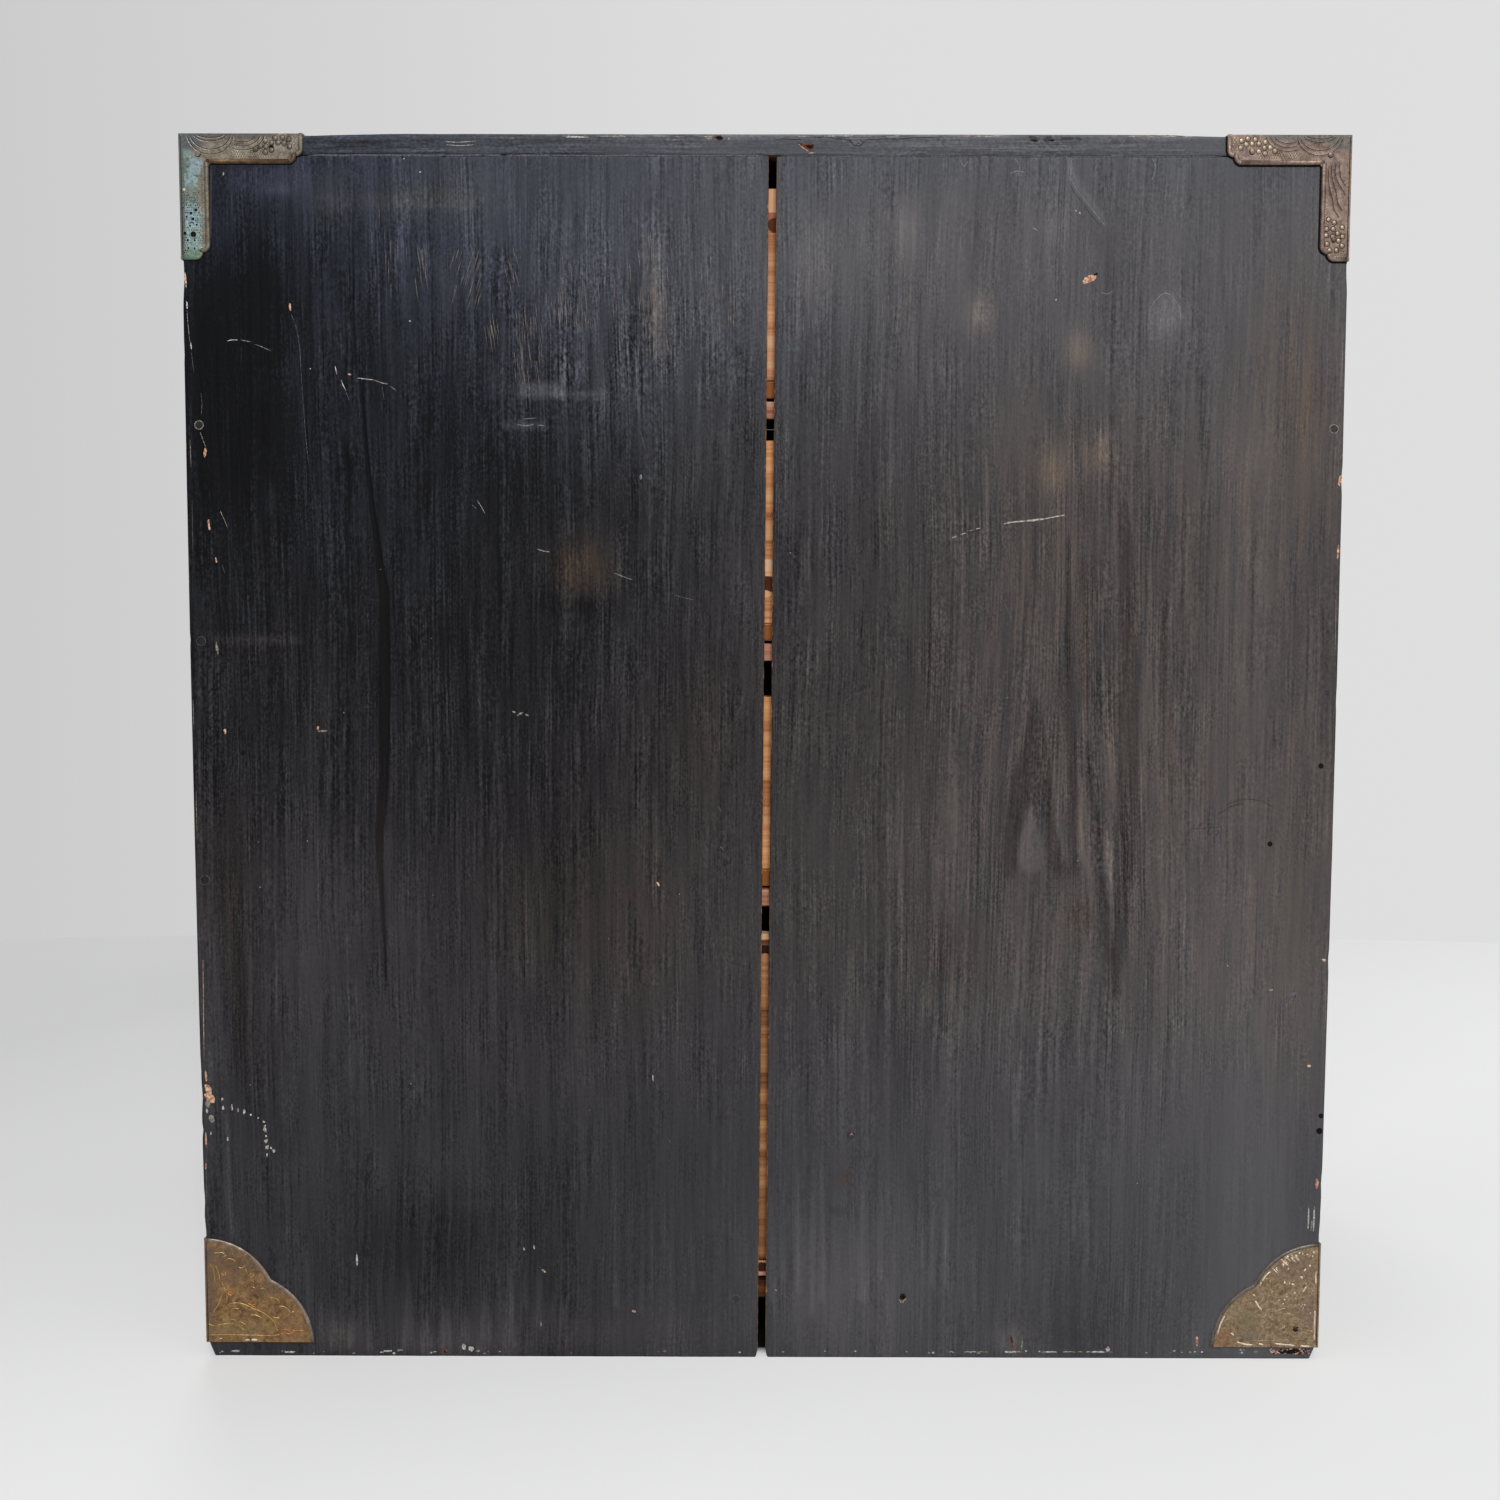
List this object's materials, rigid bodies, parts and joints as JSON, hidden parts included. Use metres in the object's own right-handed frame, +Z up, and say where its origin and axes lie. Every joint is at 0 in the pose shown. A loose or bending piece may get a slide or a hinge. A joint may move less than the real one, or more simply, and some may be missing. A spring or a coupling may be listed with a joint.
{
  "type": "kodansu chest",
  "caption": "Small upright lacquered wooden chest with stacked sliding drawers, brass bail handles and folded brass corner fittings, made to stand free on a floor or shelf.",
  "frame": {"origin": "centre of the whole object's box at floor level", "axes": "+Z up, -Y out of the drawer fronts, +Y out of the boarded back, +X to the right of someone facing the drawers"},
  "size_m": [0.452, 0.3146, 0.4871],
  "materials": {
    "black_lacquer": "thin black lacquer wiped over softwood grain, worn satin",
    "front_lacquer": "black lacquer on the drawer fronts, satin",
    "shelf_wood": "bare softwood, darkened with age",
    "drawer_wood": "bare softwood, darkened with age",
    "fitting_brass": "engraved sheet brass, tarnished brown with green patches",
    "handle_brass": "cast brass, tarnished, rubbed bright where it is held"
  },
  "bodies": {
    "carcass": {"top_board": "black_lacquer", "left_side": "black_lacquer", "right_side": "black_lacquer", "back_board_left": "black_lacquer", "back_board_right": "black_lacquer", "base_rail": "black_lacquer", "bottom_board": "shelf_wood", "shelf_lower": "shelf_wood", "shelf_middle": "shelf_wood", "shelf_upper": "shelf_wood", "top_back_left_fitting": "fitting_brass", "top_back_right_fitting": "fitting_brass", "top_front_left_fitting": "fitting_brass", "top_front_right_fitting": "fitting_brass", "foot_back_left_fitting": "fitting_brass", "foot_back_right_fitting": "fitting_brass", "foot_front_left_fitting": "fitting_brass", "foot_front_right_fitting": "fitting_brass"},
    "deep_drawer": {"deep_drawer_front": "front_lacquer", "deep_drawer_left_side": "drawer_wood", "deep_drawer_right_side": "drawer_wood", "deep_drawer_back": "drawer_wood", "deep_drawer_bottom": "drawer_wood", "deep_rosette_left": "handle_brass", "deep_rosette_right": "handle_brass", "deep_post_left": "handle_brass", "deep_post_right": "handle_brass"},
    "lower_drawer": {"lower_drawer_front": "front_lacquer", "lower_drawer_left_side": "drawer_wood", "lower_drawer_right_side": "drawer_wood", "lower_drawer_back": "drawer_wood", "lower_drawer_bottom": "drawer_wood", "lower_rosette_left": "handle_brass", "lower_rosette_right": "handle_brass", "lower_post_left": "handle_brass", "lower_post_right": "handle_brass"},
    "upper_drawer": {"upper_drawer_front": "front_lacquer", "upper_drawer_left_side": "drawer_wood", "upper_drawer_right_side": "drawer_wood", "upper_drawer_back": "drawer_wood", "upper_drawer_bottom": "drawer_wood", "upper_rosette_left": "handle_brass", "upper_rosette_right": "handle_brass", "upper_post_left": "handle_brass", "upper_post_right": "handle_brass"},
    "top_drawer": {"top_drawer_front": "front_lacquer", "top_drawer_left_side": "drawer_wood", "top_drawer_right_side": "drawer_wood", "top_drawer_back": "drawer_wood", "top_drawer_bottom": "drawer_wood", "top_rosette_left": "handle_brass", "top_rosette_right": "handle_brass", "top_post_left": "handle_brass", "top_post_right": "handle_brass"},
    "deep_bail": {"deep_bail": "handle_brass"},
    "lower_bail": {"lower_bail": "handle_brass"},
    "upper_bail": {"upper_bail": "handle_brass"},
    "top_bail": {"top_bail": "handle_brass"}
  },
  "joints": [
    {"name": "deep_drawer_slide", "type": "slide", "parent": "carcass", "child": "deep_drawer", "axis": [0, -1, 0], "range_m": [0, 0.235]},
    {"name": "lower_drawer_slide", "type": "slide", "parent": "carcass", "child": "lower_drawer", "axis": [0, -1, 0], "range_m": [0, 0.235]},
    {"name": "upper_drawer_slide", "type": "slide", "parent": "carcass", "child": "upper_drawer", "axis": [0, -1, 0], "range_m": [0, 0.235]},
    {"name": "top_drawer_slide", "type": "slide", "parent": "carcass", "child": "top_drawer", "axis": [0, -1, 0], "range_m": [0, 0.235]},
    {"name": "deep_bail_swing", "type": "hinge", "parent": "deep_drawer", "child": "deep_bail", "pos_m": [0, -0.1521, 0.1129], "axis": [-1, 0, 0], "range_deg": [-8, 185]},
    {"name": "lower_bail_swing", "type": "hinge", "parent": "lower_drawer", "child": "lower_bail", "pos_m": [0, -0.1521, 0.2431], "axis": [-1, 0, 0], "range_deg": [-8, 185]},
    {"name": "upper_bail_swing", "type": "hinge", "parent": "upper_drawer", "child": "upper_bail", "pos_m": [0, -0.1521, 0.3401], "axis": [-1, 0, 0], "range_deg": [-8, 185]},
    {"name": "top_bail_swing", "type": "hinge", "parent": "top_drawer", "child": "top_bail", "pos_m": [0, -0.1521, 0.43795], "axis": [-1, 0, 0], "range_deg": [-8, 185]}
  ]
}
